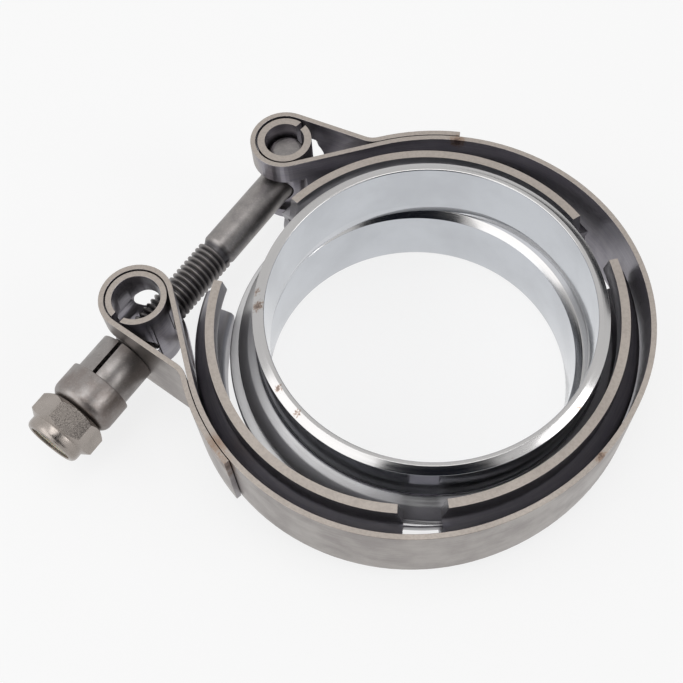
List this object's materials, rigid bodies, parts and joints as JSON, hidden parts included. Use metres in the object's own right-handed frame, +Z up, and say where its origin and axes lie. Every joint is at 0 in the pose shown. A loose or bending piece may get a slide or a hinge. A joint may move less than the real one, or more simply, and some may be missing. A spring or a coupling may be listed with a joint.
{
  "type": "v band clamp",
  "caption": "Loose V-band clamp with a T-bolt and lock nut, lying around its pair of turned stainless weld flanges.",
  "frame": {"origin": "centre of the lower flange's bore, in the plane of its pipe end, which the assembly stands on", "axes": "+Z up along the flanges' axis, -X towards the bolt and nut, +Y towards the head of the bolt"},
  "size_m": [0.1255, 0.0987, 0.0306],
  "materials": {
    "strap_steel": "rolled stainless strip, satin",
    "sheet_steel": "pressed stainless sheet, satin, sheared edges",
    "bolt_steel": "forged and rolled stainless, dull satin",
    "nut_steel": "machined stainless",
    "insert_nylon": "nylon locking ring",
    "turned_steel": "turned stainless, near mirror"
  },
  "bodies": {
    "clamp": {"strap": "strap_steel", "retainer_rear": "sheet_steel", "retainer_side": "sheet_steel", "retainer_front": "sheet_steel", "head_sleeve": "sheet_steel", "nut_sleeve": "sheet_steel", "bolt": "bolt_steel", "tube": "bolt_steel", "ferrule": "bolt_steel", "flange_upper": "turned_steel", "flange_lower": "turned_steel"},
    "insert": {"nut_insert": "insert_nylon"},
    "nut": {"nut": "nut_steel"}
  },
  "joints": [
    {"name": "nut_run", "type": "slide", "parent": "clamp", "child": "insert", "axis": [-0.6429, -0.7657, -0.0175], "range_m": [0, 0.0055]},
    {"name": "nut_turn", "type": "hinge", "parent": "insert", "child": "nut", "pos_m": [-0.06994, -0.00742, 0.01265], "axis": [-0.6429, -0.7657, -0.0175], "range_deg": [0, 1580]}
  ],
  "couplings": [
    {"joint": "nut_run", "follows": "nut_turn", "m_per_rad": 0.00019894}
  ]
}
